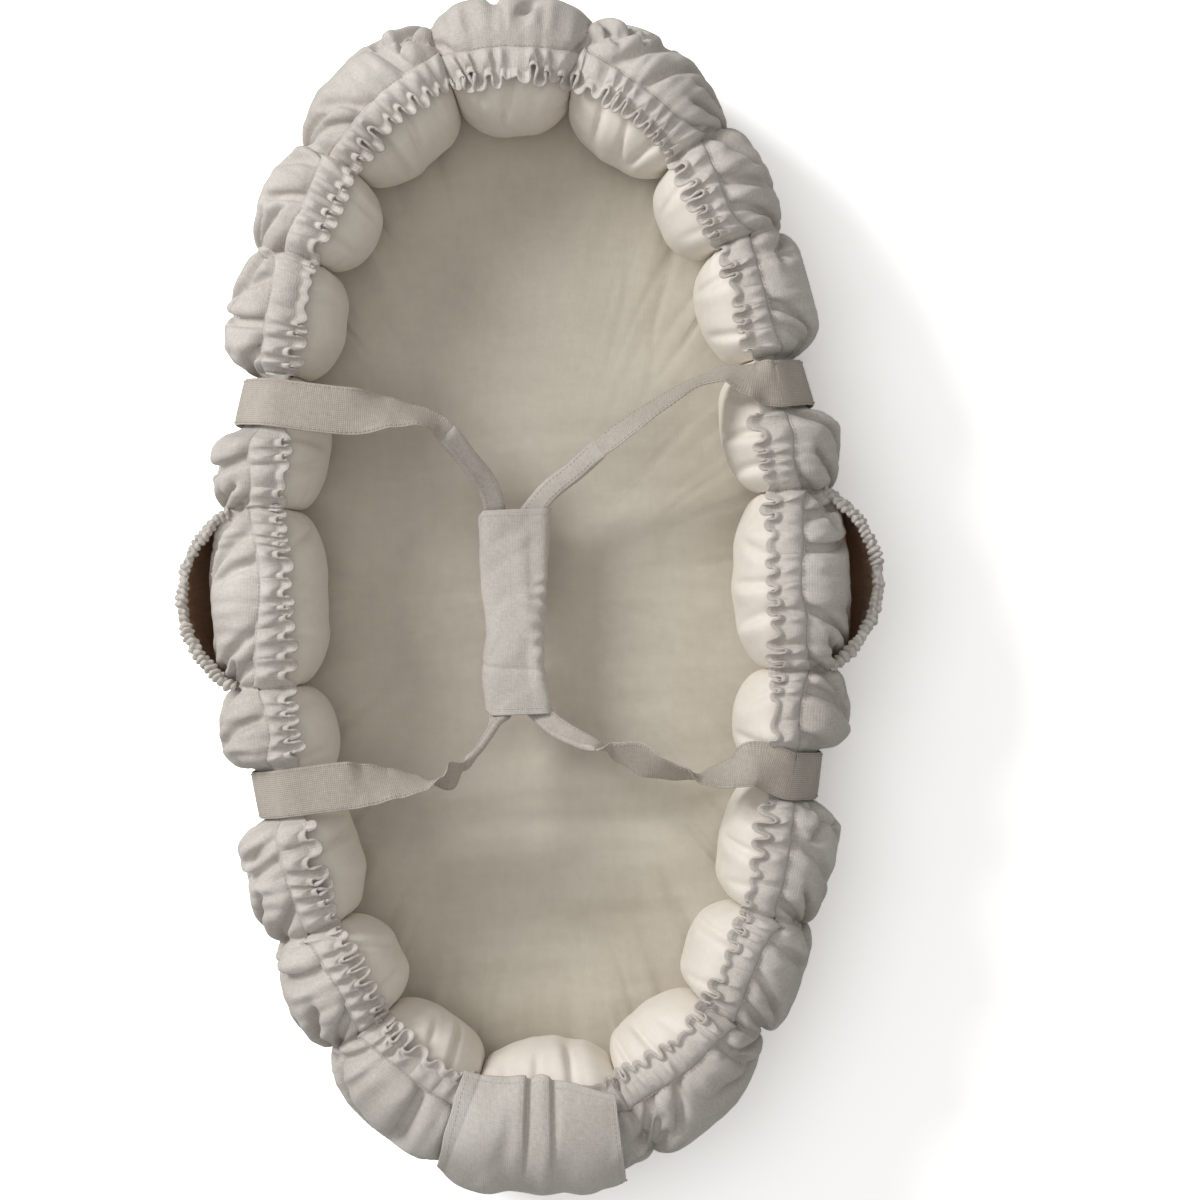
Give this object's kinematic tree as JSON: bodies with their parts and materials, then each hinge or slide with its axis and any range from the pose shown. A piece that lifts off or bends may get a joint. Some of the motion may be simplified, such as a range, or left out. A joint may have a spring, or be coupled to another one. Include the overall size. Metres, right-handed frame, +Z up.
{
  "type": "infant lounger",
  "caption": "Soft baby carry nest: oval ring of stuffed channels in a gathered linen cover round a mattress, with side pockets, a foot flap and webbing loops that meet in a wrapped grip.",
  "frame": {"origin": "on the floor under the middle of the nest's overall box", "axes": "+X the nest's right side seen from above with the head end up, +Y towards the head end, +Z up"},
  "size_m": [0.502, 0.8547, 0.1539],
  "materials": {
    "lining_sateen": "smooth cream cotton sateen, slight sheen",
    "cover_linen": "greige slubby linen, gathered",
    "sheet_cotton": "beige cream cotton percale",
    "webbing_cotton": "plain woven cotton webbing",
    "handle_linen": "stitched linen over webbing",
    "hem_elastic": "braided elastic cord",
    "fastening_tape": "hook and loop tape",
    "foam": "open cell foam",
    "fibre_board": "smooth hardboard"
  },
  "bodies": {
    "root": {"ring_channel_head": "lining_sateen", "ring_channel_left_1": "lining_sateen", "ring_channel_left_2": "lining_sateen", "ring_channel_left_3": "lining_sateen", "ring_channel_left_4": "lining_sateen", "ring_channel_left_5": "lining_sateen", "ring_channel_left_6": "lining_sateen", "ring_channel_left_7": "lining_sateen", "ring_channel_left_8": "lining_sateen", "ring_channel_left_9": "lining_sateen", "ring_channel_right_1": "lining_sateen", "ring_channel_right_2": "lining_sateen", "ring_channel_right_3": "lining_sateen", "ring_channel_right_4": "lining_sateen", "ring_channel_right_5": "lining_sateen", "ring_channel_right_6": "lining_sateen", "ring_channel_right_7": "lining_sateen", "ring_channel_right_8": "lining_sateen", "ring_channel_right_9": "lining_sateen", "ring_channel_foot": "lining_sateen", "cover_right": "cover_linen", "cover_left": "cover_linen", "cover_base_panel": "cover_linen", "hem_elastic": "hem_elastic", "base_board": "fibre_board", "mattress_core": "foam", "mattress_cover": "sheet_cotton", "strap_anchor_left_head": "webbing_cotton", "strap_leg_left_head": "webbing_cotton", "strap_anchor_right_head": "webbing_cotton", "strap_leg_right_head": "webbing_cotton", "strap_anchor_left_foot": "webbing_cotton", "strap_leg_left_foot": "webbing_cotton", "strap_anchor_right_foot": "webbing_cotton", "strap_leg_right_foot": "webbing_cotton", "pocket_panel_left": "cover_linen", "pocket_hem_left": "cover_linen", "pocket_panel_right": "cover_linen", "pocket_hem_right": "cover_linen"},
    "grip": {"handle_left": "handle_linen", "handle_right": "handle_linen", "grip_wrap": "cover_linen", "grip_loop_tape": "fastening_tape"},
    "grip_flap_body": {"grip_flap": "cover_linen", "grip_hook_tape": "fastening_tape"},
    "foot_flap_body": {"foot_flap": "cover_linen"}
  },
  "joints": [
    {"name": "grip_lift", "type": "slide", "parent": "root", "child": "grip", "axis": [0, 0, 1], "range_m": [0, 0.15], "deforming": ["strap_leg_left_head", "strap_leg_left_foot", "strap_leg_right_head", "strap_leg_right_foot"]},
    {"name": "grip_flap_open", "type": "hinge", "parent": "grip", "child": "grip_flap_body", "pos_m": [-0.039, -0.009, 0.095], "axis": [0, -1, 0], "range_deg": [0, 150]},
    {"name": "foot_flap_lift", "type": "hinge", "parent": "root", "child": "foot_flap_body", "pos_m": [0, -0.345, 0.1531], "axis": [-1, 0, 0], "range_deg": [0, 100]}
  ]
}
